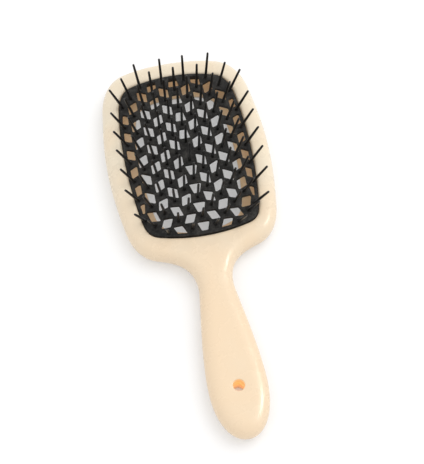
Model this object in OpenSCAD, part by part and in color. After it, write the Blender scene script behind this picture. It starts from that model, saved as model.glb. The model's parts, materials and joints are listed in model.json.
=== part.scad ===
// Vented paddle hair brush: a welded two-shell frame, a domed net pad and seventeen rows of pins.
// X runs across the brush, +Y points to the tip of the head and +Z points out through the pins.
// Z = 0 is the flat back of the frame, on which the brush lies.

/* [Frame] */
// Width of the head
head_w = 90; // [84:1:96]
// Length of the whole frame, from the end of the handle to the tip of the head
frame_l = 224.8; // [214:0.2:236]
// Thickness of the frame
frame_t = 13; // [12.6:0.1:14]
// Radius of the rounded outer edge
edge_r = 6; // [5:0.5:7]
// Wall thickness of the two shells
shell_wall = 2.2; // [1.8:0.1:2.4]
// Depth of the lip of the front shell that holds the pad down
lip_t = 2.6; // [2.4:0.1:2.8]
// Width of the rolled edge round the opening
rolled_w = 1.0; // [0.6:0.1:1.4]

/* [Hang hole] */
// Radius of the hole that the brush hangs by
hang_r = 2.9; // [2.4:0.1:3.4]
// Distance of the hole from the end of the handle
hang_from_end = 25.4; // [22:0.1:28]
// Wall thickness of the tube round the hole
hang_wall = 1.8; // [1.4:0.1:2.2]

/* [Pad] */
// Height of the middle of the pad above the back of the frame
pad_crown = 13.6; // [13.4:0.1:14]
// Radius of the pad's curve across the brush
pad_bend_r = 340; // [320:10:400]
// Thickness of the net
net_t = 1.7; // [1.6:0.1:1.9]
// Free travel of the pad when it is pressed
pad_travel = 1.0; // [0.6:0.1:1.2]
// Gap between the pad and the frame
pad_gap = 0.35; // [0.3:0.05:0.45]

/* [Pins] */
// Length of a pin above the pad
pin_l = 17.9; // [16:0.1:20]
// Radius of a pin where it leaves the pad
pin_base_r = 0.8; // [0.7:0.05:0.9]
// Radius of a pin's blunt tip
pin_tip_r = 0.62; // [0.4:0.02:0.7]
// Distance between rows
row_pitch = 5.85; // [5.7:0.05:6]
// Distance between pins in a row
pin_pitch = 12.5; // [12:0.1:12.6]
// Lean of the outermost pins across the brush, in degrees
side_lean = 22.5; // [14:0.5:24]
// Lean of the last row towards the tip of the head, in degrees
tip_lean = 15; // [8:0.5:18]
// Lean of the first row towards the handle, in degrees
handle_lean = 20.5; // [10:0.5:22]

/* [Hidden] */

cream = "#F6E2C6";
soft_black = "#2A2826";
gloss_black = "#161514";
bite = 0.01;

rows = 17;
row_one_y = 2.4;
mid_row = 9;
side_x = 31.4;
row_sag = 1.3;

// Outermost pins of rows 3, 5 ... 15: distance from the middle line, and shift along the brush from their row.
OUTER_PINS = [[29.4, -2.6], [31.1, -1.4], [31.4, -1.3], [31.6, -1.3], [31.4, -1.3], [31.2, -1.4], [30.2, 0.3]];
mid_z = frame_t / 2;
hang_y = -frame_l / 2 + hang_from_end;

// Right-hand half of the frame's outline, as joined Bezier curves from the head's tip to the handle's end,
// for a frame 90 wide and 224.8 long.
FRAME_CURVE = [
    [0, 112.4], [12, 112.4], [21, 111], [28, 108.6],
    [34.5, 106.4], [40.6, 99.5], [42.2, 86],
    [43.9, 73], [45, 63], [45, 51],
    [45, 37], [43.4, 23], [41, 9.5],
    [39.7, 2.2], [36.5, -6.2], [27.5, -9.4],
    [18.5, -12.4], [9.1, -16], [9.2, -31],
    [10.3, -42], [15, -66], [14.95, -85],
    [14.95, -101], [9, -112.4], [0, -112.4]
];

// Right-hand half of the opening for the pad, from its upper edge to its lower edge.
OPENING_CURVE = [
    [0, 100.8], [9, 100.8], [17, 99.6], [24, 97.6],
    [29.5, 96.2], [31.8, 91], [33, 84],
    [34.4, 74], [34.9, 63], [34.9, 52],
    [34.9, 38], [33.4, 22], [31.6, 11],
    [30.4, 4], [28.2, 1.2], [22, 0],
    [15, -1.8], [8, -2.7], [0, -2.7]
];

// Right-hand half of the window in the back of the frame, from its upper edge to its lower edge.
WINDOW_CURVE = [
    [0, 92.8], [7, 92.8], [12, 92.2], [16, 90.8],
    [21.5, 88.9], [24, 84], [25, 77],
    [26.3, 69], [26.9, 61], [26.9, 52],
    [26.9, 40], [25.7, 29], [24.2, 19.5],
    [23, 12], [18.8, 9], [13.5, 7.2],
    [9.5, 5.8], [5, 5.3], [0, 5.3]
];

function row_name(r) = str("pin_row_", r < 10 ? "0" : "", r);

// Point at share t of the Bezier curve with the four control points that start at index i.
function bezier(c, i, t) =
    let (u = 1 - t)
    u * u * u * c[i] + 3 * u * u * t * c[i + 1] + 3 * u * t * t * c[i + 2] + t * t * t * c[i + 3];

// Points along a half outline, with "steps" of them on each of its curves.
function half_points(c, steps) = concat(
    [for (i = [0 : 3 : len(c) - 4], k = [0 : steps - 1]) bezier(c, i, k / steps)],
    [c[len(c) - 1]]
);

// Closed clockwise outline: the half, and its mirror image on the way back.
function both_halves(half) = concat(
    half,
    [for (i = [len(half) - 2 : -1 : 1]) [-half[i][0], half[i][1]]]
);

function scaled(c) = [for (p = c) [p[0] * head_w / 90, p[1] * frame_l / 224.8]];
function frame_outline(steps) = both_halves(half_points(scaled(FRAME_CURVE), steps));
function opening_outline(steps) = both_halves(half_points(scaled(OPENING_CURVE), steps));
function window_outline(steps) = both_halves(half_points(scaled(WINDOW_CURVE), steps));

// A clockwise outline moved inwards by d, or outwards where d is negative.
function inset(pts, d) = [
    for (i = [0 : len(pts) - 1])
        let (
            n = len(pts),
            along = pts[(i + 1) % n] - pts[(i + n - 1) % n],
            inward = [along[1], -along[0]] / norm(along)
        )
        pts[i] + d * inward
];

function at_height(pts, z) = [for (p = pts) [p[0], p[1], z]];

// Rings of a half cushion shape that is widest at z = 0 and rises to "rise" with a rounded edge.
// It starts "skirt" below z = 0, and "pull" is how far the whole shape lies inside the outline.
function cushion_rings(steps, rise, round_r, pull, skirt, turns) = concat(
    [at_height(inset(frame_outline(steps), pull), -skirt)],
    [for (k = [0 : turns])
        let (a = 90 * k / turns)
        at_height(inset(frame_outline(steps), pull + round_r * (1 - cos(a))), rise * sin(a))]
);

// Triangles of a flat face, as strips that join each point to its mirror image on the other side.
function strip_face(n) = [
    for (i = [0 : n / 2 - 1])
        let (j = i + 1, k = n - j, m = (n - i) % n)
        each concat(j == k ? [] : [[i, j, k]], i == m ? [] : [[i, k, m]])
];

// Closed solid through mirrored rings of equal point count, from the lowest to the highest.
module loft(rings) {
    n = len(rings[0]);
    last = (len(rings) - 1) * n;
    points = [for (ring = rings) each ring];
    low_face = [for (t = strip_face(n)) [t[2], t[1], t[0]]];
    high_face = [for (t = strip_face(n)) [last + t[0], last + t[1], last + t[2]]];
    sides = [
        for (k = [0 : n : last - n], i = [0 : n - 1], upper = [false, true])
            let (j = (i + 1) % n)
            upper ? [k + i, k + n + j, k + n + i] : [k + i, k + j, k + n + j]
    ];
    polyhedron(points, concat(low_face, sides, high_face));
}

module prism(pts, z_low, z_high) {
    translate([0, 0, z_low])
        linear_extrude(z_high - z_low)
            polygon(pts);
}

// Outer body of one half of the frame, rising from the parting plane at z = 0.
module half_body() {
    intersection() {
        loft(cushion_rings(7, mid_z, edge_r, 0, 1, 6));
        translate([-head_w, -frame_l, 0])
            cube([2 * head_w, 2 * frame_l, mid_z]);
    }
}

// Hollow inside one half of the frame, which runs through the parting plane.
module half_hollow(roof) {
    loft(cushion_rings(4, mid_z - roof, edge_r - shell_wall, shell_wall, 1, 3));
}

module hang_tube(h) {
    translate([0, hang_y, 0])
        cylinder(r = hang_r + hang_wall, h = h, $fn = 48);
}

// Bore through one half of the frame, with a small chamfer at its mouth.
module hang_bore() {
    mouth = 0.5;
    translate([0, hang_y, -bite])
        cylinder(r = hang_r, h = frame_t, $fn = 48);
    translate([0, hang_y, mid_z - mouth])
        cylinder(r1 = hang_r, r2 = hang_r + 2 * mouth, h = 2 * mouth, $fn = 48);
}

// Front half of the frame: a lip round the opening holds the flange of the pad from above.
module front_shell() {
    opening = opening_outline(5);
    roll = [[-0.2, 1.0], [0.15, 0.45], [0.5, 0.15], [1.1, -0.1]];
    color(cream)
        translate([0, 0, mid_z])
            difference() {
                union() {
                    difference() {
                        half_body();
                        half_hollow(lip_t);
                    }
                    hang_tube(mid_z - 1);
                }
                prism(opening, -1, mid_z + 1);
                loft([for (s = roll) at_height(inset(opening, -s[0] * rolled_w), mid_z - s[1] * rolled_w)]);
                hang_bore();
            }
}

// Rear half of the frame: a wall below the edge of the opening carries the pad, a rib outside the pad's flange
// reaches the roof of the front half, and inside the wall a wide ledge runs round the window.
module rear_shell() {
    opening = opening_outline(5);
    wall_top = flange_z() - pad_travel - 0.2;
    wall_out = inset(opening, -rib_out());
    rib_in = inset(opening, -rib_out() + rib_w());
    color(cream)
        difference() {
            union() {
                translate([0, 0, mid_z])
                    mirror([0, 0, 1]) {
                        difference() {
                            half_body();
                            half_hollow(shell_wall);
                        }
                        hang_tube(mid_z - 1);
                    }
                difference() {
                    prism(wall_out, 1, frame_t - lip_t);
                    prism(rib_in, wall_top, frame_t);
                }
            }
            prism(opening, shell_wall, frame_t);
            prism(window_outline(5), -1, frame_t);
            translate([0, 0, mid_z])
                mirror([0, 0, 1])
                    hang_bore();
        }
}

// Underside of the pad's flange, its thickness, and how far it and the rear shell's rib stand outside the
// opening.
function flange_z() = frame_t - lip_t - 0.2 - flange_t();
function flange_t() = 1.3;
function flange_out() = 2.0;
function rib_w() = 1.2;
function rib_out() = flange_out() + pad_gap + rib_w();

// Height of the pad's upper face at a distance x from the middle.
function pad_z(x) = pad_crown - pad_bend_r + sqrt(pad_bend_r * pad_bend_r - x * x);
function row_y(r) = row_one_y + row_pitch * (r - 1);
function is_odd(r) = r % 2 == 1;
function is_end(r) = r <= 2 || r >= rows - 1;

// The rows curve a little towards the handle at their ends.
function curved_y(r, x) = row_y(r) - row_sag * pow(x / side_x, 2);

// Places of the pins and of the holes in a row: each row of pins stands over the gaps of the next.
function half_row() = [for (k = [-3, -1, 1, 3]) k * pin_pitch / 2];
function whole_row() = [for (k = [-1 : 1]) k * pin_pitch];
function both_sides(x) = [-x, x];
function on_row(r, places) = [for (x = places) [x, curved_y(r, x)]];
function outer_pins(r) =
    let (place = OUTER_PINS[(r - 3) / 2])
    [for (x = both_sides(place[0])) [x, row_y(r) + place[1]]];
function pin_places(r) =
    is_odd(r)
    ? concat(on_row(r, half_row()), is_end(r) ? [] : outer_pins(r))
    : on_row(r, concat(whole_row(), both_sides(2 * pin_pitch)));
function hole_places(r) =
    let (outer_x = (is_odd(r) ? 2 : 2.5) * pin_pitch)
    on_row(r, concat(
        is_odd(r) ? both_sides(pin_pitch) : half_row(),
        is_odd(r) && r != mid_row ? [0] : [],
        is_end(r) ? [] : both_sides(outer_x)
    ));

// Four-sided hole of the net. Its upper and lower edges rise outwards or inwards by turns, and the other way
// round in the upper half of the net. The holes of the first rows lean over instead.
module net_hole(r, place) {
    w = 2.5;
    h = r <= 2 ? 2.75 : 3.15;
    way = (is_odd(r) ? 1 : -1) * (r < mid_row ? 1 : -1);
    middle = place[0] == 0;
    share = r <= 2 ? 1 : r == 3 ? 0.75 : r == 4 ? 0.4 : 0;
    slope = middle ? 0 : sign(place[0]) * way * 0.5 * (1 - share);
    lean = middle ? 0 : sign(place[0]) * way * 1.15 * share;
    flare = middle ? (way > 0 ? 0.9 : -0.55) : 0;
    translate(place)
        polygon([
            [-w - flare + lean, h - slope * w], [w + flare + lean, h + slope * w],
            [w - flare - lean, -h + slope * w], [-w + flare - lean, -h - slope * w]
        ]);
}

// All the holes, kept inside the net's border.
module net_holes() {
    intersection() {
        polygon(inset(opening_outline(4), 2.1));
        union()
            for (r = [1 : rows], place = hole_places(r))
                net_hole(r, place);
    }
}

// Round bar along Y whose upper face is the pad's upper face, lowered by "drop".
module bend_bar(drop) {
    translate([0, frame_l / 2, pad_crown - pad_bend_r])
        rotate([90, 0, 0])
            cylinder(r = pad_bend_r - drop, h = frame_l, $fn = 180);
}

// Direction of the pin at a place: the pins lean away from the middle of the pad. Those of the middle row
// don't lean along the brush.
function lean_dir(place) =
    let (off = (place[1] - row_y(mid_row)) / (row_pitch * (rows - mid_row)))
    [
        tan(sign(place[0]) * side_lean * pow(abs(place[0]) / side_x, 2.2)),
        tan(abs(off) < 0.05 ? 0 : off > 0 ? tip_lean * pow(off, 3) : -handle_lean * off * off),
        1
    ];

// Turns a pin's own axis from +Z to its lean, and puts its origin on the pad's upper face.
module at_pin(place) {
    dir = lean_dir(place);
    translate([place[0], place[1], pad_z(place[0])])
        rotate([0, acos(1 / norm(dir)), atan2(dir[1], dir[0])])
            children();
}

// Depth of the seat of a pin's head below the pad's upper face, the head's thickness and its radius.
function seat_d() = 1.0;
function head_t() = 0.8;
function head_r() = 1.05;

// Net pad: a domed plate with slanted holes, a skirt round its edge and a flange under the frame's lip.
module pad_net() {
    skirt_w = 0.9;
    play = 0.02;
    opening = opening_outline(5);
    edge = inset(opening, pad_gap);
    color(soft_black)
        difference() {
            union() {
                difference() {
                    intersection() {
                        prism(edge, flange_z(), frame_t + 2);
                        bend_bar(0);
                    }
                    intersection() {
                        prism(inset(edge, skirt_w), 0, frame_t + 2);
                        bend_bar(net_t);
                    }
                    linear_extrude(frame_t + 2)
                        net_holes();
                }
                difference() {
                    prism(inset(opening, -flange_out()), flange_z(), flange_z() + flange_t());
                    prism(inset(edge, skirt_w / 2), 0, frame_t);
                }
                for (r = [1 : rows], place = pin_places(r))
                    at_pin(place)
                        translate([0, 0, -seat_d() - head_t() - 0.3])
                            cylinder(r = head_r() + 0.35, h = head_t() + 0.5, $fn = 32);
            }
            for (r = [1 : rows], place = pin_places(r))
                at_pin(place) {
                    translate([0, 0, -3])
                        cylinder(r = pin_base_r + play, h = 4, $fn = 32);
                    translate([0, 0, -seat_d() - head_t() - 2])
                        cylinder(r = head_r() + play, h = head_t() + 2 + play, $fn = 32);
                }
        }
}

// One moulded pin: a flat head, a straight shank in the pad and a taper to a blunt round tip.
module pin() {
    tip = [for (a = [0 : 30 : 90]) [pin_tip_r * cos(a), pin_l - pin_tip_r + pin_tip_r * sin(a)]];
    rotate_extrude($fn = 32)
        polygon(concat(
            [[0, -seat_d() - head_t()], [head_r(), -seat_d() - head_t()], [head_r(), -seat_d()],
             [pin_base_r, -seat_d()], [pin_base_r, 0.5]],
            tip
        ));
}

module pin_row(r) {
    color(gloss_black)
        for (place = pin_places(r))
            at_pin(place)
                pin();
}

front_shell();
rear_shell();
pad_net();
for (r = [1 : rows])
    pin_row(r);
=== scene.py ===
"""Looks of a vented paddle hair brush: smooth shells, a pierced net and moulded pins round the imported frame."""

import json
import math

import bmesh
import bpy
from bpy.props import FloatProperty, FloatVectorProperty, IntProperty, PointerProperty
from mathutils import Matrix, Vector


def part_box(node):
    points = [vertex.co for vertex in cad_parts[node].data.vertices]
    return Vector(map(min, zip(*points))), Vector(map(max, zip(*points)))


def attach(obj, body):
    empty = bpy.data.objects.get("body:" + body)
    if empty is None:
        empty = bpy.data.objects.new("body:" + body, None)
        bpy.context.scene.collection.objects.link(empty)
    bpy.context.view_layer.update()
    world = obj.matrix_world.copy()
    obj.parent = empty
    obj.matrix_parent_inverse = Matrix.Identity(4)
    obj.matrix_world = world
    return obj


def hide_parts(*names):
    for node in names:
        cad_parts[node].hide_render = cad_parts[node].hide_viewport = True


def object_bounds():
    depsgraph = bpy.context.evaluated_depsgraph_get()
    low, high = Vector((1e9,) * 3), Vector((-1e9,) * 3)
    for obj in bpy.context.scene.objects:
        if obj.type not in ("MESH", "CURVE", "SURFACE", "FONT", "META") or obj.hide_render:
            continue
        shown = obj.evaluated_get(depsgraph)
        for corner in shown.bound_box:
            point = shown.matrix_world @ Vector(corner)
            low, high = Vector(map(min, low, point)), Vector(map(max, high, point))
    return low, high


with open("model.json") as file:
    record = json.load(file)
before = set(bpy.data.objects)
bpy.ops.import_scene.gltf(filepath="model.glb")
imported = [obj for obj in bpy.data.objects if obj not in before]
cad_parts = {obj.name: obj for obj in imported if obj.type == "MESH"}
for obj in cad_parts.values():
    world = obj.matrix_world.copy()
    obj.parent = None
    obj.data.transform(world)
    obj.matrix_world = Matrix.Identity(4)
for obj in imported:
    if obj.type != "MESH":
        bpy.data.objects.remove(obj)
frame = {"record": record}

bl_info = {
    "name": "Paddle Brush Looks",
    "version": (1, 0, 0),
    "blender": (4, 5, 0),
    "location": "View3D > Sidebar > Brush",
    "description": "Builds the shells, net, pins and studio of a vented paddle hair brush",
    "category": "Add Mesh",
}

MM = 0.001
CAD_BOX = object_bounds()
FRONT_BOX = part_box("front_shell")
REAR_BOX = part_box("rear_shell")
NET_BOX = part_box("pad_net")
HANG_HOLE = next(m for m in frame["record"]["mounts"] if m["name"] == "hang_hole")

MID_Z = FRONT_BOX[0].z
FRONT_Z = FRONT_BOX[1].z
HEAD_WIDTH = FRONT_BOX[1].x - FRONT_BOX[0].x
BRUSH_LENGTH = FRONT_BOX[1].y - FRONT_BOX[0].y
HANG_CENTRE = Vector(HANG_HOLE["pos_m"][:2])
HANG_RADIUS = HANG_HOLE["dims"]["r_mm"] * MM

# Right-hand half of the frame's outline in millimetres, as joined Bezier curves from the head's tip to the
# handle's end, for a frame of the width and length that CURVE_SIZE gives.
CURVE_SIZE = (90, 224.8)
FRAME_CURVE = (
    (0, 112.4), (12, 112.4), (21, 111), (28, 108.6),
    (34.5, 106.4), (40.6, 99.5), (42.2, 86),
    (43.9, 73), (45, 63), (45, 51),
    (45, 37), (43.4, 23), (41, 9.5),
    (39.7, 2.2), (36.5, -6.2), (27.5, -9.4),
    (18.5, -12.4), (9.1, -16), (9.2, -31),
    (10.3, -42), (15, -66), (14.95, -85),
    (14.95, -101), (9, -112.4), (0, -112.4),
)

# Right-hand half of the opening for the pad, from its upper edge to its lower edge.
OPENING_CURVE = (
    (0, 100.8), (9, 100.8), (17, 99.6), (24, 97.6),
    (29.5, 96.2), (31.8, 91), (33, 84),
    (34.4, 74), (34.9, 63), (34.9, 52),
    (34.9, 38), (33.4, 22), (31.6, 11),
    (30.4, 4), (28.2, 1.2), (22, 0),
    (15, -1.8), (8, -2.7), (0, -2.7),
)

# Right-hand half of the window in the back, from its upper edge to its lower edge.
WINDOW_CURVE = (
    (0, 92.8), (7, 92.8), (12, 92.2), (16, 90.8),
    (21.5, 88.9), (24, 84), (25, 77),
    (26.3, 69), (26.9, 61), (26.9, 52),
    (26.9, 40), (25.7, 29), (24.2, 19.5),
    (23, 12), (18.8, 9), (13.5, 7.2),
    (9.5, 5.8), (5, 5.3), (0, 5.3),
)

# Distance outside an opening and depth below the face, in millimetres, at each step of a rolled edge.
FRONT_ROLL = ((2.3, 0), (1.7, 0.05), (1.2, 0.16), (0.78, 0.34),
              (0.45, 0.58), (0.18, 0.92), (0.04, 1.35), (0, 1.8))
WINDOW_ROLL = ((1.5, 0), (0.95, 0.06), (0.5, 0.24), (0.18, 0.56), (0.04, 0.95), (0, 1.4))
HANG_ROLL = ((0.42, 0.04), (0.2, 0.14), (0.06, 0.32), (0, 0.55))

# Attributes of the shells' points that mark the walls behind the net and those of the hang hole, where painted
# warm bounce light and a painted glow go.
WALL_LAYERS = ("inner_wall", "hang_wall")

PIN_ROWS = 17
MIDDLE_ROW = 9

# Outermost pins of rows 3, 5 ... 15 in millimetres: distance from the middle line, and shift from their row.
OUTER_PINS = ((29.4, -2.6), (31.1, -1.4), (31.4, -1.3), (31.6, -1.3), (31.4, -1.3), (31.2, -1.4), (30.2, 0.3))

# How far the holes of the first rows lean over in place of sloping.
HOLE_LEAN_SHARES = {1: 1.0, 2: 1.0, 3: 0.75, 4: 0.4}


def linear(red, green, blue):
    """Scene-linear colour of a display colour given in steps of 0 to 255."""
    def channel(value):
        share = value / 255
        return share / 12.92 if share <= 0.04045 else ((share + 0.055) / 1.055) ** 2.4
    return tuple(channel(value) for value in (red, green, blue))


def size_property(name, description, default_mm):
    return FloatProperty(name=name, description=description, default=default_mm * MM, min=0.0,
                         precision=5, subtype="DISTANCE", unit="LENGTH")


def colour_property(name, description, rgb):
    return FloatVectorProperty(name=name, description=description, default=linear(*rgb), size=3,
                               min=0.0, max=1.0, subtype="COLOR")


class ShellSizes(bpy.types.PropertyGroup):
    """Sizes of the two halves of the frame."""
    wall: size_property("Wall", "Wall thickness of both halves", 2.2)
    lip: size_property("Lip", "Depth of the lip that holds the pad down", 2.6)
    head_round: size_property("Head rounding", "Width of the rounded outer edge of the head", 6.4)
    handle_round: size_property("Handle rounding", "Width of the rounded edge of the handle", 7.9)
    hollow_round: size_property("Hollow rounding", "Width of the rounded edge of the hollow inside", 3.4)
    seam: size_property("Seam", "Depth and half width of the groove where the halves meet", 0.12)
    rib_reach: size_property("Rib reach", "Distance of the rib's outer face from the opening", 3.55)
    rib_width: size_property("Rib width", "Thickness of the rib outside the pad's flange", 1.2)
    seat_drop: size_property("Seat drop", "Distance of the pad's seat below its flange", 1.2)
    tube_wall: size_property("Tube wall", "Wall thickness of the tube round the hang hole", 1.8)
    edge_power: FloatProperty(name="Edge power", description="Fullness of the rounded edge, 2 is round",
                              default=2.15, min=2.0, max=4.0)
    curve_steps: IntProperty(name="Curve steps", description="Points on each curve of an outline",
                             default=14, min=4, max=24)
    edge_steps: IntProperty(name="Edge steps", description="Rings across the rounded edge",
                            default=14, min=4, max=24)


class NetSizes(bpy.types.PropertyGroup):
    """Sizes of the pad's net."""
    bend_radius: size_property("Bend radius", "Radius of the pad's curve across the brush", 340)
    thickness: size_property("Thickness", "Thickness of the net", 1.7)
    gap: size_property("Gap", "Gap between the net's edge and the frame", 0.35)
    skirt: size_property("Skirt", "Thickness of the skirt round the net", 0.9)
    flange_reach: size_property("Flange reach", "Width of the flange under the frame's lip", 2.0)
    flange_height: size_property("Flange height", "Thickness of the flange", 1.3)
    border: size_property("Border", "Least width of the solid border outside the holes", 2.1)
    hole_half_width: size_property("Hole half width", "Half the width of a hole", 2.5)
    hole_half_height: size_property("Hole half height", "Half the height of a hole", 3.15)
    first_half_height: size_property("First holes", "Half the height of the holes in rows one and two", 2.75)
    hole_lean: size_property("Hole lean", "Sideways shift of the upper edge of the first rows' holes", 1.15)
    hole_flare: size_property("Hole flare", "Widening of the middle holes at one end", 0.9)
    hole_corner: size_property("Hole corner", "Length of a hole's rounded corners", 0.75)
    hole_slope: FloatProperty(name="Hole slope", description="Slope of the holes' upper and lower edges",
                              default=0.5, min=0.0, max=1.0)
    edge_round: size_property("Edge rounding", "Radius of the net's moulded edges", 0.25)


class PinSizes(bpy.types.PropertyGroup):
    """Sizes and places of the pins."""
    length: size_property("Length", "Length of a pin above the net", 17.9)
    base_radius: size_property("Base radius", "Radius of a pin where it leaves the net", 0.8)
    tip_radius: size_property("Tip radius", "Radius of a pin's blunt tip", 0.62)
    head_radius: size_property("Head radius", "Radius of the head under the net", 1.05)
    head_height: size_property("Head height", "Thickness of the head", 0.8)
    seat_depth: size_property("Seat depth", "Depth of the head's seat below the net's face", 1.0)
    collar_radius: size_property("Collar radius", "Radius of the moulded collar round a pin", 1.5)
    collar_height: size_property("Collar height", "Height of that collar", 0.25)
    socket_play: size_property("Socket play", "Gap between a pin and its socket", 0.02)
    row_one_y: size_property("First row", "Place of the row nearest the handle", 2.4)
    row_pitch: size_property("Row pitch", "Distance between rows", 5.85)
    pin_pitch: size_property("Pin pitch", "Distance between pins in a row", 12.5)
    side_place: size_property("Side place", "Distance of the outermost pins from the middle line", 31.4)
    row_sag: size_property("Row sag", "Curve of the rows towards the handle, at the outermost pins", 1.3)
    boss_wall: size_property("Boss wall", "Wall thickness of the boss round a pin's head", 0.35)
    side_lean: FloatProperty(name="Side lean", description="Lean of the outermost pins across the brush",
                             default=math.radians(22.5), subtype="ANGLE", unit="ROTATION")
    tip_lean: FloatProperty(name="Tip lean", description="Lean of the last row towards the tip of the head",
                            default=math.radians(15), subtype="ANGLE", unit="ROTATION")
    handle_lean: FloatProperty(name="Handle lean", description="Lean of the first row towards the handle",
                               default=math.radians(20.5), subtype="ANGLE", unit="ROTATION")


class FinishColours(bpy.types.PropertyGroup):
    """Colours of the finishes."""
    cream: colour_property("Cream", "Main colour of the frame", (226, 203, 173))
    # The frame's colour shifts to this paler, greyer tone towards the head.
    pale_cream: colour_property("Pale cream", "Paler tone of the plastic round the head", (221, 209, 187))
    # The next two colours are painted light: warm bounce light and a painted glow in the hang hole and on the
    # walls and ledge behind the net.
    painted_light_amber: colour_property("Amber", "Tone of the hang hole's walls, where light comes through", (255, 206, 126))
    tan: colour_property("Tan", "Warm tone of the frame's walls and ledge behind the net", (240, 206, 164))
    net_black: colour_property("Net black", "Main colour of the net", (20, 19, 18))
    net_grey: colour_property("Net grey", "Worn, greyer patches of the net", (60, 58, 55))
    pin_black: colour_property("Pin black", "Colour of the pins", (17, 16, 15))
    floor: colour_property("Floor", "Colour of the floor", (242, 242, 242))


class StudioSettings(bpy.types.PropertyGroup):
    """Place of the camera and strength of the lights."""
    distance: size_property("Distance", "Distance of the camera from its target", 566)
    target_x: FloatProperty(name="Target X", description="Point that the camera looks at", default=4.02 * MM,
                            precision=5, subtype="DISTANCE", unit="LENGTH")
    target_y: FloatProperty(name="Target Y", description="Point that the camera looks at", default=1.4 * MM,
                            precision=5, subtype="DISTANCE", unit="LENGTH")
    lens: FloatProperty(name="Lens", description="Focal length for a sensor 36 mm long", default=82.63)
    turn: FloatProperty(name="Turn", description="Camera's turn to the left of the brush's middle line",
                        default=math.radians(-5.92), subtype="ANGLE", unit="ROTATION")
    tilt: FloatProperty(name="Tilt", description="Camera's tilt from straight down towards the handle",
                        default=math.radians(27.0), subtype="ANGLE", unit="ROTATION")
    roll: FloatProperty(name="Roll", description="Camera's roll about its own axis",
                        default=math.radians(-12.53), subtype="ANGLE", unit="ROTATION")
    key_power: FloatProperty(name="Key light", description="Power of the large light",
                             default=5.7, unit="POWER")
    glint_power: FloatProperty(name="Glint", description="Power of the light mirrored in the handle's end",
                               default=0.045, unit="POWER")
    fill_strength: FloatProperty(name="Sky", description="Strength of the even light from all round",
                                 default=1.05)
    floor_glow: FloatProperty(name="Floor glow", description="Share of the floor that is seen as plain white",
                              default=0.28, min=0.0, max=1.0)


# Outlines and loops -----------------------------------------------------------------------------------------

def bezier(curve, first, share):
    """Point at a share of the cubic Bezier curve whose four control points start at index first."""
    rest = 1 - share
    weights = (rest ** 3, 3 * rest * rest * share, 3 * rest * share * share, share ** 3)
    return sum((Vector(curve[first + k]) * w for k, w in enumerate(weights)), Vector((0, 0)))


def outline(curve, steps):
    """Closed clockwise outline in metres: the right-hand half and its mirror image, scaled to the frame."""
    half = [bezier(curve, first, k / steps) for first in range(0, len(curve) - 3, 3) for k in range(steps)]
    half.append(Vector(curve[-1]))
    scale = Vector((HEAD_WIDTH / CURVE_SIZE[0], BRUSH_LENGTH / CURVE_SIZE[1]))
    right = [p * scale for p in half]
    return right + [Vector((-p.x, p.y)) for p in right[-2:0:-1]]


def inward_normals(points):
    """Unit vectors that point inwards from each point of a clockwise outline."""
    normals = []
    for k, point in enumerate(points):
        along = points[(k + 1) % len(points)] - points[k - 1]
        normals.append(Vector((along.y, -along.x)).normalized())
    return normals


def ring(points, inset, z):
    """The outline moved inwards by inset, one number or one for each point, at height z."""
    insets = inset if isinstance(inset, list) else [inset] * len(points)
    return [Vector((*(p + n * d), z)) for p, n, d in zip(points, inward_normals(points), insets)]


def circle(centre, radius, z, steps):
    """Clockwise circle at height z."""
    return [Vector((centre.x + radius * math.sin(math.tau * k / steps),
                    centre.y + radius * math.cos(math.tau * k / steps), z)) for k in range(steps)]


def new_loop(bm, places):
    """Closed loop of vertices and edges through the places."""
    verts = [bm.verts.new(place) for place in places]
    for a, b in zip(verts, verts[1:] + verts[:1]):
        bm.edges.new((a, b))
    return verts


def edges_of(bm, loops):
    return [bm.edges.get((a, b)) for loop in loops for a, b in zip(loop, loop[1:] + loop[:1])]


def grow(bm, loops, rings):
    """Extrudes every loop into a wall that ends at its ring, and returns the new loops."""
    made = bmesh.ops.extrude_edge_only(bm, edges=edges_of(bm, loops))["geom"]
    fresh = {part for part in made if isinstance(part, bmesh.types.BMVert)}
    grown = []
    for loop, places in zip(loops, rings):
        ends = [next(e.other_vert(v) for e in v.link_edges if e.other_vert(v) in fresh) for v in loop]
        for vert, place in zip(ends, places):
            vert.co = place
        grown.append(ends)
    return grown


def grow_through(bm, loop, rings):
    """Extrudes one loop through a row of rings and returns the last loop."""
    for places in rings:
        loop = grow(bm, [loop], [places])[0]
    return loop


def fill_flat(bm, loops):
    """Fills the flat face between an outer loop and the loops inside it."""
    edges = edges_of(bm, loops)
    bmesh.ops.triangle_fill(bm, use_beauty=True, use_dissolve=False, edges=edges, normal=(0, 0, 1))


def finish_piece(bm, name, body, nodes, material, sharp_degrees=32):
    """Turns the closed mesh into a smooth-shaded piece that rides on a body in place of its CAD nodes."""
    bmesh.ops.recalc_face_normals(bm, faces=bm.faces)
    limit = math.radians(sharp_degrees)
    for face in bm.faces:
        face.smooth = True
    for edge in bm.edges:
        edge.smooth = edge.calc_face_angle(0) < limit
    mesh = bpy.data.meshes.new(name)
    bm.to_mesh(mesh)
    bm.free()
    mesh.materials.append(material)
    piece = bpy.data.objects.new(name, mesh)
    bpy.context.scene.collection.objects.link(piece)
    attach(piece, body)
    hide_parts(*nodes)


# Shells -----------------------------------------------------------------------------------------------------

def smooth_share(value, start, end):
    """0 before start, 1 after end and a smooth step between them."""
    share = min(max((value - start) / (end - start), 0), 1)
    return share * share * (3 - 2 * share)


def rounding_widths(sizes, points):
    """Width of the rounded edge at each point: the handle's edge is rounded further in than the head's."""
    head_end, handle_start = -10 * MM, -34 * MM
    spread = sizes.handle_round - sizes.head_round
    return [sizes.head_round + spread * smooth_share(-p.y, -head_end, -handle_start) for p in points]


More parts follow.
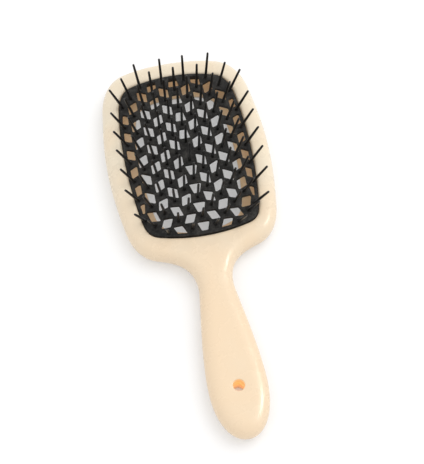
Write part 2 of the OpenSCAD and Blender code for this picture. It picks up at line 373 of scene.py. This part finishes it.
def edge_rings(sizes, points, z_start, z_end):
    """Rings of the rounded outer edge, from the groove of the seam to the flat of the face."""
    widths = rounding_widths(sizes, points)
    side = 1 if z_end > z_start else -1
    rise = abs(z_end - z_start) - sizes.seam
    rings = []
    for k in range(sizes.edge_steps + 1):
        angle = math.pi / 2 * k / sizes.edge_steps
        across = 1 - math.cos(angle) ** (2 / sizes.edge_power)
        up = math.sin(angle) ** (2 / sizes.edge_power)
        z = z_start + side * (sizes.seam + rise * up)
        rings.append(ring(points, [w * across for w in widths], z))
    return rings


def hollow_rings(sizes, points, z_start, z_end):
    """Rings of the hollow inside a half, from its roof to the parting plane."""
    widths = [sizes.hollow_round + w - sizes.head_round for w in rounding_widths(sizes, points)]
    steps = max(sizes.edge_steps // 2, 3)
    rings = []
    for k in range(steps, -1, -1):
        angle = math.pi / 2 * k / steps
        insets = [sizes.wall + w * (1 - math.cos(angle)) for w in widths]
        rings.append(ring(points, insets, z_start + (z_end - z_start) * math.sin(angle)))
    return rings


def rolled_rings(opening, z_face, side, roll):
    """Rings of a rolled edge round an opening."""
    return [ring(opening, -out * MM, z_face - side * down * MM) for out, down in roll]


def hang_hole_walls(bm, sizes, mouth, z_face, z_inner_face, side):
    """Walls of the hang hole's bore and of the tube round it, from the mouth's loop to the hollow's roof."""
    steps = len(mouth)
    rings = [circle(HANG_CENTRE, HANG_RADIUS + out * MM, z_face - side * down * MM, steps)
             for out, down in HANG_ROLL]
    rings.append(circle(HANG_CENTRE, HANG_RADIUS, MID_Z, steps))
    tube_radius = HANG_RADIUS + sizes.tube_wall
    rings.append(circle(HANG_CENTRE, tube_radius, MID_Z, steps))
    rings.append(circle(HANG_CENTRE, tube_radius, z_inner_face, steps))
    return grow_through(bm, mouth, rings)


def build_shell(sizes, z_face, z_inner_face, opening_rings):
    """Closed mesh of one half of the frame: outer face, opening wall, hollow and hang hole."""
    bm = bmesh.new()
    for name in WALL_LAYERS:
        bm.verts.layers.float.new(name)
    inner_wall, hang_wall = (bm.verts.layers.float[name] for name in WALL_LAYERS)
    points = outline(FRAME_CURVE, sizes.curve_steps)
    side = 1 if z_face > MID_Z else -1
    seam_ring = ring(points, sizes.seam, MID_Z)
    seam = new_loop(bm, seam_ring)
    face_edge = grow_through(bm, seam, edge_rings(sizes, points, MID_Z, z_face))
    opening = new_loop(bm, opening_rings[0])
    mouth_radius, mouth_steps = HANG_RADIUS + 0.7 * MM, 48
    mouth = new_loop(bm, circle(HANG_CENTRE, mouth_radius, z_face, mouth_steps))
    fill_flat(bm, [face_edge, opening, mouth])
    outer_count = len(bm.verts)
    opening_end = grow_through(bm, opening, opening_rings[1:])
    tube_end = hang_hole_walls(bm, sizes, mouth, z_face, z_inner_face, side)
    tube_reach = HANG_RADIUS + sizes.tube_wall + 0.1 * MM
    # Painted light mask: the walls inside get painted warm bounce light and glow, from nothing at the face to
    # full further in.
    for vert in list(bm.verts)[outer_count:]:
        at_hang_hole = (vert.co.xy - HANG_CENTRE).length < tube_reach
        start, end = (0.2 * MM, 1.0 * MM) if at_hang_hole else (0.7 * MM, 2.2 * MM)
        vert[hang_wall if at_hang_hole else inner_wall] = smooth_share(abs(vert.co.z - z_face), start, end)
    hollow = hollow_rings(sizes, points, MID_Z, z_inner_face)
    roof_edge = new_loop(bm, hollow[0])
    fill_flat(bm, [roof_edge, opening_end, tube_end])
    joint_edge = grow_through(bm, roof_edge, hollow[1:] + [seam_ring])
    bmesh.ops.remove_doubles(bm, verts=joint_edge + seam, dist=0.001 * MM)
    return bm


class BRUSH_OT_front_shell(bpy.types.Operator):
    """Build the front half of the frame, with the lip round the pad"""
    bl_idname = "brush.front_shell"
    bl_label = "Front Shell"

    def execute(self, context):
        sizes = context.scene.brush_shell
        opening = outline(OPENING_CURVE, sizes.curve_steps)
        roof = FRONT_Z - sizes.lip
        rings = rolled_rings(opening, FRONT_Z, 1, FRONT_ROLL)
        rings.append(ring(opening, 0, roof))
        bm = build_shell(sizes, FRONT_Z, roof, rings)
        finish_piece(bm, "front_shell_moulding", "frame", ["front_shell"], cream_plastic(context))
        return {"FINISHED"}


class BRUSH_OT_rear_shell(bpy.types.Operator):
    """Build the rear half of the frame, with the window's ledge, the pad's seat and the rib round it"""
    bl_idname = "brush.rear_shell"
    bl_label = "Rear Shell"

    def execute(self, context):
        sizes = context.scene.brush_shell
        opening = outline(OPENING_CURVE, sizes.curve_steps)
        z_back = REAR_BOX[0].z
        z_seat = NET_BOX[0].z - sizes.seat_drop
        z_rib = FRONT_Z - sizes.lip - 0.01 * MM
        z_floor = z_back + sizes.wall
        window = outline(WINDOW_CURVE, sizes.curve_steps)
        rings = rolled_rings(window, z_back, -1, WINDOW_ROLL)
        rib_in, rib_out = -(sizes.rib_reach - sizes.rib_width), -sizes.rib_reach
        soft = 0.3 * MM
        rings += [ring(window, 0, z_floor - soft), ring(window, -soft, z_floor)]
        walls = ((soft, z_floor), (0, z_floor + soft), (0, z_seat - soft), (-soft, z_seat), (rib_in, z_seat),
                 (rib_in, z_rib), (rib_out, z_rib), (rib_out, z_floor))
        rings += [ring(opening, inset, z) for inset, z in walls]
        bm = build_shell(sizes, z_back, z_floor, rings)
        finish_piece(bm, "rear_shell_moulding", "frame", ["rear_shell"], cream_plastic(context))
        return {"FINISHED"}


# Net and pins -----------------------------------------------------------------------------------------------

def net_height(net, x):
    """Height of the net's upper face."""
    radius = net.bend_radius
    return NET_BOX[1].z - radius + math.sqrt(radius * radius - x * x)


def row_y(pins, row):
    return pins.row_one_y + pins.row_pitch * (row - 1)


def curved_y(pins, row, x):
    """Place of a row at a distance from the middle line: the rows curve a little towards the handle."""
    return row_y(pins, row) - pins.row_sag * (x / pins.side_place) ** 2


def mirrored(places):
    """Places right of the middle line together with their mirror images."""
    return [Vector((side * p.x, p.y)) for p in places for side in ((-1, 1) if p.x else (1,))]


def row_grid(pins, row, whole):
    """The right-hand places of a row that lie on the grid: at whole pitches from the middle, or between."""
    steps = (0, 1) if whole else (0.5, 1.5)
    return [Vector((k * pins.pin_pitch, curved_y(pins, row, k * pins.pin_pitch))) for k in steps]


def at_end(row):
    return row <= 2 or row >= PIN_ROWS - 1


def pin_places(pins, row):
    """Places of a row's pins."""
    if row % 2 == 0:
        outer_x = 2 * pins.pin_pitch
        return mirrored(row_grid(pins, row, True) + [Vector((outer_x, curved_y(pins, row, outer_x)))])
    places = row_grid(pins, row, False)
    if not at_end(row):
        x, shift = OUTER_PINS[(row - 3) // 2]
        places.append(Vector((x * MM, row_y(pins, row) + shift * MM)))
    return mirrored(places)


def hole_places(pins, row):
    """Places of a row's holes: they lie between its pins. The net's middle has no hole."""
    odd = row % 2 == 1
    places = row_grid(pins, row, odd)
    if row == MIDDLE_ROW:
        places.pop(0)
    if not at_end(row):
        outer_x = (2 if odd else 2.5) * pins.pin_pitch
        places.append(Vector((outer_x, curved_y(pins, row, outer_x))))
    return mirrored(places)


def pin_lean(pins, place):
    """Sideways travel of a pin for each unit of height: the pins lean away from the middle of the pad."""
    across = math.copysign(pins.side_lean * (abs(place.x) / pins.side_place) ** 2.2, place.x)
    share = (place.y - row_y(pins, MIDDLE_ROW)) / (pins.row_pitch * (PIN_ROWS - MIDDLE_ROW))
    along = pins.tip_lean * share ** 3 if share > 0 else -pins.handle_lean * share * share
    along = 0 if abs(share) < 0.05 else along
    return Vector((math.tan(across), math.tan(along)))


def pin_axis(pins, place):
    return Vector((*pin_lean(pins, place), 1)).normalized()


def rounded_polygon(corners, radius, steps):
    """Points of a polygon with round corners, in the order of its corners. Short edges get smaller corners."""
    points = []
    for k, corner in enumerate(corners):
        to_last = corners[k - 1] - corner
        to_next = corners[(k + 1) % len(corners)] - corner
        half = to_last.angle(to_next) / 2
        reach = min(radius / math.tan(half), 0.45 * to_last.length, 0.45 * to_next.length)
        start, end = corner + to_last.normalized() * reach, corner + to_next.normalized() * reach
        for j in range(steps + 1):
            share = j / steps
            points.append(start * (1 - share) ** 2 + corner * 2 * share * (1 - share) + end * share ** 2)
    return points


def hole_corners(net, place, row):
    """Corners of a four-sided hole, clockwise from its upper left one. The upper and lower edges rise outwards
    or inwards by turns, and the other way round in the upper half. The first rows' holes lean over instead."""
    way = (1 if row % 2 == 1 else -1) * (1 if row < MIDDLE_ROW else -1)
    share = HOLE_LEAN_SHARES.get(row, 0.0)
    w, h = net.hole_half_width, net.first_half_height if row <= 2 else net.hole_half_height
    if place.x == 0:
        flare = net.hole_flare if way > 0 else -0.6 * net.hole_flare
        rise, lean = 0, 0
    else:
        side = way * math.copysign(1, place.x)
        flare, rise, lean = 0, side * net.hole_slope * (1 - share) * w, side * net.hole_lean * share
    corners = ((-w - flare + lean, h - rise), (w + flare + lean, h + rise),
               (w - flare - lean, -h + rise), (-w + flare - lean, -h - rise))
    return [place + Vector(corner) for corner in corners]


def cut(points, place, inward):
    """The part of a polygon on the side of the line through a place that inward points to."""
    kept = []
    for last, point in zip(points[-1:] + points[:-1], points):
        depth, last_depth = (point - place).dot(inward), (last - place).dot(inward)
        if (depth < 0) != (last_depth < 0):
            kept.append(last.lerp(point, last_depth / (last_depth - depth)))
        if depth >= 0:
            kept.append(point)
    return kept


def nearest_point(points, target):
    """Point of a polygon's outline that is nearest to the target."""
    found = []
    for a, b in zip(points[-1:] + points[:-1], points):
        share = (target - a).dot(b - a) / (b - a).length_squared
        found.append(a.lerp(b, min(max(share, 0), 1)))
    return min(found, key=lambda p: (p - target).length)


def net_holes(net, pins):
    """Outlines of all the holes, with round corners, inside the border and clear of the pins' bosses."""
    border = [p.xy for p in ring(outline(OPENING_CURVE, 8), net.border, 0)]
    inwards = inward_normals(border)
    rows = range(1, PIN_ROWS + 1)
    bosses = [p - pin_lean(pins, p) * net.thickness / 2 for row in rows for p in pin_places(pins, row)]
    clear = pins.head_radius + pins.boss_wall + 1.6 * net.edge_round
    near, shortest = 7.5 * MM, 0.25 * MM
    holes = []
    for row in rows:
        for place in hole_places(pins, row):
            corners = hole_corners(net, place, row)
            for point, inward in zip(border, inwards):
                corners = cut(corners, point, inward)
            for boss in bosses:
                if (boss - place).length < near:
                    away = nearest_point(corners, boss) - boss
                    if away.length < clear:
                        corners = cut(corners, boss + away.normalized() * clear, away.normalized())
            corners = [c for k, c in enumerate(corners) if (c - corners[k - 1]).length > shortest]
            holes.append(rounded_polygon(corners, net.hole_corner, 3))
    return holes


def offset_polygon(points, distance, z):
    """A clockwise hole outline widened by distance, at height z."""
    return [Vector((*(p - n * distance), z)) for p, n in zip(points, inward_normals(points))]


def socket_ring(axis, spot, radius, along, face_z, steps=12):
    """Circle round a pin's axis. Where face_z isn't None, it lies in that level plane; otherwise it is square
    to the axis, at the distance "along" from the net's upper face."""
    across = axis.orthogonal().normalized()
    other = axis.cross(across)
    places = []
    for k in range(steps):
        turn = -math.tau * k / steps
        place = across * (radius * math.cos(turn)) + other * (radius * math.sin(turn))
        place += axis * (along if face_z is None else (face_z - place.z) / axis.z)
        places.append(spot.to_3d() + place)
    return places


def build_net(net, pins, steps):
    """Closed mesh of the net, built flat with its upper face at z = 0 and then bent."""
    bm = bmesh.new()
    opening = outline(OPENING_CURVE, steps)
    r, t = net.edge_round, net.thickness
    rim_levels = ((r, 0), (0.3 * r, -0.3 * r), (0, -r))
    z_flange = NET_BOX[0].z - NET_BOX[1].z

    edge = new_loop(bm, ring(opening, net.gap + r, 0))
    holes = net_holes(net, pins)
    hole_tops = [new_loop(bm, offset_polygon(h, r, 0)) for h in holes]
    spots = [place for row in range(1, PIN_ROWS + 1) for place in pin_places(pins, row)]
    axes = [pin_axis(pins, spot) for spot in spots]

    def socket_rings(radius, along=0, face_z=None):
        return [socket_ring(axis, spot, radius, along, face_z) for axis, spot in zip(axes, spots)]

    sockets = [new_loop(bm, places) for places in socket_rings(pins.collar_radius, face_z=0)]
    fill_flat(bm, [edge] + hole_tops + sockets)

    for out, z in rim_levels[1:] + ((0, -t + r), (0.3 * r, -t + 0.3 * r), (r, -t)):
        hole_tops = grow(bm, hole_tops, [offset_polygon(h, out, z) for h in holes])

    shank = pins.base_radius + pins.socket_play
    head = pins.head_radius + pins.socket_play
    boss = pins.head_radius + pins.boss_wall
    boss_end = -(pins.seat_depth + pins.head_height + 0.3 * MM)
    collar = pins.collar_height
    for radius, along in ((shank + 0.32 * MM, 0.6 * collar), (shank + 0.14 * MM, collar), (shank, 0.7 * collar),
                          (shank, -pins.seat_depth), (head, -pins.seat_depth), (head, boss_end),
                          (boss - 0.12 * MM, boss_end), (boss, boss_end + 0.12 * MM)):
        sockets = grow(bm, sockets, socket_rings(radius, along))
    sockets = grow(bm, sockets, socket_rings(boss, face_z=-t))

    inner = net.gap + net.skirt
    flange_top = z_flange + net.flange_height
    edge = grow_through(bm, edge, [
        ring(opening, net.gap + 0.3 * r, -0.3 * r), ring(opening, net.gap, -r),
        ring(opening, net.gap, flange_top), ring(opening, -net.flange_reach, flange_top),
        ring(opening, -net.flange_reach, z_flange), ring(opening, inner, z_flange), ring(opening, inner, -t)])
    fill_flat(bm, [edge] + hole_tops + sockets)

    for vert in bm.verts:
        share = smooth_share(vert.co.z, flange_top, -t)
        vert.co.z += NET_BOX[1].z + share * (net_height(net, vert.co.x) - NET_BOX[1].z)
    return bm


class BRUSH_OT_net(bpy.types.Operator):
    """Build the pierced net of the pad, with its skirt, flange and pin sockets"""
    bl_idname = "brush.net"
    bl_label = "Net"

    def execute(self, context):
        scene = context.scene
        bm = build_net(scene.brush_net, scene.brush_pins, scene.brush_shell.curve_steps)
        finish_piece(bm, "net_moulding", "pad", ["pad_net"], net_nylon(context))
        return {"FINISHED"}


def pin_profile(pins):
    """Radius and height of the points down a pin, from the top of its tip to the foot of its head."""
    tip, base, length = pins.tip_radius, pins.base_radius, pins.length
    profile = [(tip * math.sin(math.radians(a)), length - tip + tip * math.cos(math.radians(a)))
               for a in (0, 22, 44, 66, 84)]
    taper_start = 0.5 * MM
    for k in range(1, 7):
        share = k / 6
        radius = tip + (base - tip) * share ** 0.85
        profile.append((radius, (length - tip) * (1 - share) + taper_start * share))
    seat, height, head = pins.seat_depth, pins.head_height, pins.head_radius
    edge = 0.12 * MM
    profile += [(base, -seat), (head - edge, -seat), (head, -seat - edge),
                (head, -seat - height + edge), (head - edge, -seat - height), (0, -seat - height)]
    return profile


def add_pin(bm, pins, matrix, steps=16):
    """Spins one pin's profile round its axis and puts it in its place."""
    chain = [bm.verts.new((radius, 0, height)) for radius, height in pin_profile(pins)]
    edges = [bm.edges.new(pair) for pair in zip(chain, chain[1:])]
    bmesh.ops.spin(bm, geom=chain + edges, cent=(0, 0, 0), axis=(0, 0, 1), dvec=(0, 0, 0),
                   angle=math.tau, steps=steps, use_merge=True, use_normal_flip=False, use_duplicate=False)
    made = [v for v in bm.verts if not v.tag]
    bmesh.ops.transform(bm, matrix=matrix, verts=made)
    for vert in made:
        vert.tag = True


class BRUSH_OT_pins(bpy.types.Operator):
    """Build the moulded pins, one piece for each row"""
    bl_idname = "brush.pins"
    bl_label = "Pins"

    def execute(self, context):
        net, pins = context.scene.brush_net, context.scene.brush_pins
        material = pin_nylon(context)
        for row in range(1, PIN_ROWS + 1):
            bm = bmesh.new()
            for place in pin_places(pins, row):
                turn = pin_axis(pins, place).to_track_quat("Z", "Y").to_matrix().to_4x4()
                add_pin(bm, pins, Matrix.Translation((*place, net_height(net, place.x))) @ turn)
            bmesh.ops.remove_doubles(bm, verts=bm.verts, dist=0.002 * MM)
            finish_piece(bm, f"pins_row_{row:02d}", "pad", [f"pin_row_{row:02d}"], material, 50)
        return {"FINISHED"}


# Finishes ---------------------------------------------------------------------------------------------------

class NodeTree:
    """Short calls for building one material's nodes."""

    def __init__(self, name):
        self.material = bpy.data.materials.new(name)
        self.material.use_nodes = True
        self.nodes = self.material.node_tree.nodes
        self.links = self.material.node_tree.links
        self.shader = self.nodes["Principled BSDF"]
        self.place = self.nodes.new("ShaderNodeTexCoord").outputs["Object"]

    def join(self, source, target):
        self.links.new(source, target)

    def noise(self, scale, detail=2.0, roughness=0.5, distortion=0.0, stretch=(1, 1, 1)):
        """Noise over the piece, with features about one metre over scale in size."""
        mapping = self.nodes.new("ShaderNodeMapping")
        mapping.inputs["Scale"].default_value = stretch
        self.join(self.place, mapping.inputs["Vector"])
        node = self.nodes.new("ShaderNodeTexNoise")
        node.inputs["Scale"].default_value = scale
        node.inputs["Detail"].default_value = detail
        node.inputs["Roughness"].default_value = roughness
        node.inputs["Distortion"].default_value = distortion
        self.join(mapping.outputs["Vector"], node.inputs["Vector"])
        return node.outputs["Fac"]

    def along(self):
        """Place along the brush."""
        node = self.nodes.new("ShaderNodeSeparateXYZ")
        self.join(self.place, node.inputs[0])
        return node.outputs["Y"]

    def add(self, first, second):
        """Sum of two values, kept between 0 and 1."""
        node = self.nodes.new("ShaderNodeMath")
        node.use_clamp = True
        self.join(first, node.inputs[0])
        self.join(second, node.inputs[1])
        return node.outputs[0]

    def attribute(self, name):
        node = self.nodes.new("ShaderNodeAttribute")
        node.attribute_name = name
        return node.outputs["Fac"]

    def spread(self, source, low, high, out_low=0.0, out_high=1.0):
        """Maps the span from low to high of a value to the span of the output."""
        node = self.nodes.new("ShaderNodeMapRange")
        for name, value in (("From Min", low), ("From Max", high), ("To Min", out_low), ("To Max", out_high)):
            node.inputs[name].default_value = value
        self.join(source, node.inputs["Value"])
        return node.outputs["Result"]

    def mix(self, share, first, second):
        """Mix of two colours, each a colour or another node's output."""
        node = self.nodes.new("ShaderNodeMix")
        node.data_type = "RGBA"
        self.join(share, node.inputs["Factor"])
        for socket, colour in ((node.inputs[6], first), (node.inputs[7], second)):
            if isinstance(colour, bpy.types.NodeSocket):
                self.join(colour, socket)
            else:
                socket.default_value = (*colour, 1)
        return node.outputs[2]

    def bump(self, height, strength, distance, under=None):
        node = self.nodes.new("ShaderNodeBump")
        node.inputs["Strength"].default_value = strength
        node.inputs["Distance"].default_value = distance
        self.join(height, node.inputs["Height"])
        if under is not None:
            self.join(under, node.inputs["Normal"])
        return node.outputs["Normal"]

    def set(self, **values):
        """Sets sockets of the shader, with spaces in their names given as underscores."""
        for name, value in values.items():
            socket = self.shader.inputs[name.replace("_", " ")]
            if isinstance(value, bpy.types.NodeSocket):
                self.join(value, socket)
            else:
                socket.default_value = value


def cream_plastic(context):
    """Polished cream plastic with faint clouds, a trace of orange peel and fine handling marks. It is paler round
    the head. The walls inside get painted warm bounce light and a painted glow, which stand in for the light that
    comes through them."""
    if "cream_plastic" in bpy.data.materials:
        return bpy.data.materials["cream_plastic"]
    colours = context.scene.brush_colours
    tree = NodeTree("cream_plastic")
    clouds = tree.spread(tree.noise(26, detail=3, distortion=0.6), 0.3, 0.7, -0.2, 0.2)
    tint = tree.spread(tree.noise(70, detail=2), 0.3, 0.7, 0.0, 0.3)
    head = tree.add(clouds, tree.spread(tree.along(), -0.045, 0.05))
    cream, pale = tuple(colours.cream), tuple(colours.pale_cream)
    warm = tuple(c * f for c, f in zip(cream, (1.0, 0.975, 0.94)))
    base = tree.mix(tint, tree.mix(head, cream, pale), warm)
    # Painted light: the walls behind the net shift to the tan and those of the hang hole to the amber, for warm
    # bounce light inside the frame.
    inner, hang = (tree.attribute(name) for name in WALL_LAYERS)
    tan, painted_light_amber = tuple(colours.tan), tuple(colours.painted_light_amber)
    base = tree.mix(hang, tree.mix(inner, base, tan), painted_light_amber)
    # Painted glow: the same walls emit a little light in those tones, though they are no lamp.
    glow = tree.add(tree.spread(inner, 0, 1, 0, 0.15), tree.spread(hang, 0, 1, 0, 0.3))
    smudges = tree.noise(110, detail=4, roughness=0.6)
    marks = tree.noise(1800, detail=2)
    peel = tree.noise(260, detail=1)
    # The emission set here is the painted glow of the inner walls.
    tree.set(Base_Color=base, Roughness=tree.spread(smudges, 0.35, 0.7, 0.22, 0.34),
             Normal=tree.bump(marks, 0.01, 0.00001, tree.bump(peel, 0.02, 0.00005)),
             IOR=1.5, Emission_Color=tree.mix(hang, tan, painted_light_amber), Emission_Strength=glow)
    return tree.material


def net_nylon(context):
    """Matte black nylon with a mottled moulded grain and greyer worn patches."""
    colours = context.scene.brush_colours
    tree = NodeTree("net_nylon")
    patches = tree.add(tree.spread(tree.noise(160, detail=4, roughness=0.65), 0.42, 0.68, 0, 0.6),
                       tree.spread(tree.noise(900, detail=2), 0.5, 0.72, 0, 0.5))
    grain = tree.noise(1500, detail=3, roughness=0.6)
    fine = tree.noise(4200, detail=1)
    base = tree.mix(patches, tuple(colours.net_black), tuple(colours.net_grey))
    tree.set(Base_Color=base, Roughness=tree.spread(grain, 0.3, 0.7, 0.42, 0.66),
             Normal=tree.bump(fine, 0.25, 0.00004, tree.bump(grain, 0.5, 0.00012)), IOR=1.5,
             Specular_IOR_Level=0.22)
    return tree.material


def pin_nylon(context):
    """Glossy black nylon, with faint draw lines along the pins and dulled patches."""
    colours = context.scene.brush_colours
    tree = NodeTree("pin_nylon")
    lines = tree.noise(3000, detail=2, stretch=(1, 1, 0.08))
    dust = tree.spread(tree.noise(240, detail=3), 0.45, 0.75)
    black = tuple(colours.pin_black)
    dull = tuple(c * 1.9 for c in black)
    tree.set(Base_Color=tree.mix(dust, black, dull), Roughness=tree.spread(lines, 0.3, 0.7, 0.24, 0.42),
             Normal=tree.bump(lines, 0.12, 0.00003), IOR=1.53)
    return tree.material


# Studio -----------------------------------------------------------------------------------------------------

def floor_finish(context):
    """White floor: part of what the camera sees is plain white, so that the shadows stay soft and pale."""
    settings = context.scene.brush_studio
    tree = NodeTree("studio_floor")
    grain = tree.noise(60, detail=2)
    colour = tuple(context.scene.brush_colours.floor)
    dimmer = tuple(c * 0.985 for c in colour)
    tree.set(Base_Color=tree.mix(grain, colour, dimmer), Roughness=0.85, Specular_IOR_Level=0.2)
    glow = tree.nodes.new("ShaderNodeEmission")
    blend = tree.nodes.new("ShaderNodeMixShader")
    path = tree.nodes.new("ShaderNodeLightPath")
    share = tree.nodes.new("ShaderNodeMath")
    share.operation = "MULTIPLY"
    share.inputs[1].default_value = settings.floor_glow
    seen = tree.add(path.outputs["Is Camera Ray"], path.outputs["Is Glossy Ray"])
    tree.join(tree.add(seen, path.outputs["Is Transmission Ray"]), share.inputs[0])
    tree.join(share.outputs[0], blend.inputs["Fac"])
    tree.join(tree.shader.outputs["BSDF"], blend.inputs[1])
    tree.join(glow.outputs["Emission"], blend.inputs[2])
    tree.join(blend.outputs["Shader"], tree.nodes["Material Output"].inputs["Surface"])
    return tree.material


def add_floor(context):
    bm = bmesh.new()
    bmesh.ops.create_grid(bm, x_segments=8, y_segments=8, size=3.0)
    mesh = bpy.data.meshes.new("studio_floor")
    bm.to_mesh(mesh)
    bm.free()
    mesh.materials.append(floor_finish(context))
    floor = bpy.data.objects.new("studio_floor", mesh)
    floor.location.z = CAD_BOX[0].z - 0.02 * MM
    context.scene.collection.objects.link(floor)


def add_light(context, name, place, target, size, power):
    """Round area light at a place, turned to its target."""
    light = bpy.data.lights.new(name, "AREA")
    light.shape = "DISK"
    light.size = size
    light.energy = power
    lamp = bpy.data.objects.new(name, light)
    lamp.location = place
    lamp.rotation_mode = "QUATERNION"
    lamp.rotation_quaternion = (Vector(target) - Vector(place)).to_track_quat("-Z", "Y")
    context.scene.collection.objects.link(lamp)
    return lamp


def add_sky(context):
    """Even white light from all round."""
    world = bpy.data.worlds.new("studio_sky")
    world.use_nodes = True
    background = world.node_tree.nodes["Background"]
    background.inputs["Color"].default_value = (1, 1, 1, 1)
    background.inputs["Strength"].default_value = context.scene.brush_studio.fill_strength
    context.scene.world = world


def add_camera(context):
    settings = context.scene.brush_studio
    turn, tilt, roll = settings.turn, settings.tilt, settings.roll
    back = Vector((math.sin(turn) * math.cos(tilt), -math.sin(tilt), math.cos(turn) * math.cos(tilt)))
    right = Vector((0, 1, 0)).cross(back).normalized()
    up = back.cross(right)
    right, up = (right * math.cos(roll) + up * math.sin(roll), up * math.cos(roll) - right * math.sin(roll))
    camera = bpy.data.objects.new("studio_camera", bpy.data.cameras.new("studio_camera"))
    camera.data.lens = settings.lens
    camera.data.clip_end = 20
    target = Vector((settings.target_x, settings.target_y, MID_Z))
    turned = Matrix((right, up, back)).transposed().to_4x4()
    camera.matrix_world = Matrix.Translation(target + back * settings.distance) @ turned
    context.scene.collection.objects.link(camera)
    context.scene.camera = camera


class BRUSH_OT_studio(bpy.types.Operator):
    """Set up the white floor, the soft lights and the camera"""
    bl_idname = "brush.studio"
    bl_label = "Studio"

    def execute(self, context):
        settings = context.scene.brush_studio
        add_floor(context)
        add_sky(context)
        place, size = (0.7, 0.35, 1.1), 1.1
        key = add_light(context, "key_light", place, (0, 0, 0), size, settings.key_power)
        key.visible_glossy = False
        place, handle_end, size = (0.264, -0.06, 0.245), (0.009, -0.098, 0.012), 0.22
        glint = add_light(context, "glint_light", place, handle_end, size, settings.glint_power)
        glint.data.spread = math.radians(26)
        glint.visible_diffuse = False
        add_camera(context)
        context.scene.view_settings.view_transform = "Standard"
        return {"FINISHED"}


class BRUSH_PT_looks(bpy.types.Panel):
    """Lists the pieces of the brush in the sidebar"""
    bl_label = "Paddle Brush"
    bl_idname = "BRUSH_PT_looks"
    bl_space_type = "VIEW_3D"
    bl_region_type = "UI"
    bl_category = "Brush"

    def draw(self, context):
        for operator in STEPS:
            self.layout.operator(operator.bl_idname)


STEPS = (BRUSH_OT_front_shell, BRUSH_OT_rear_shell, BRUSH_OT_net, BRUSH_OT_pins, BRUSH_OT_studio)
GROUPS = {
    "brush_shell": ShellSizes,
    "brush_net": NetSizes,
    "brush_pins": PinSizes,
    "brush_colours": FinishColours,
    "brush_studio": StudioSettings,
}


def register():
    for cls in (*GROUPS.values(), *STEPS, BRUSH_PT_looks):
        bpy.utils.register_class(cls)
    for name, group in GROUPS.items():
        setattr(bpy.types.Scene, name, PointerProperty(type=group))


def unregister():
    for name in GROUPS:
        delattr(bpy.types.Scene, name)
    for cls in reversed((*GROUPS.values(), *STEPS, BRUSH_PT_looks)):
        bpy.utils.unregister_class(cls)


def main():
    register()
    bpy.ops.brush.front_shell()
    bpy.ops.brush.rear_shell()
    bpy.ops.brush.net()
    bpy.ops.brush.pins()
    bpy.ops.brush.studio()


if __name__ == "__main__":
    main()
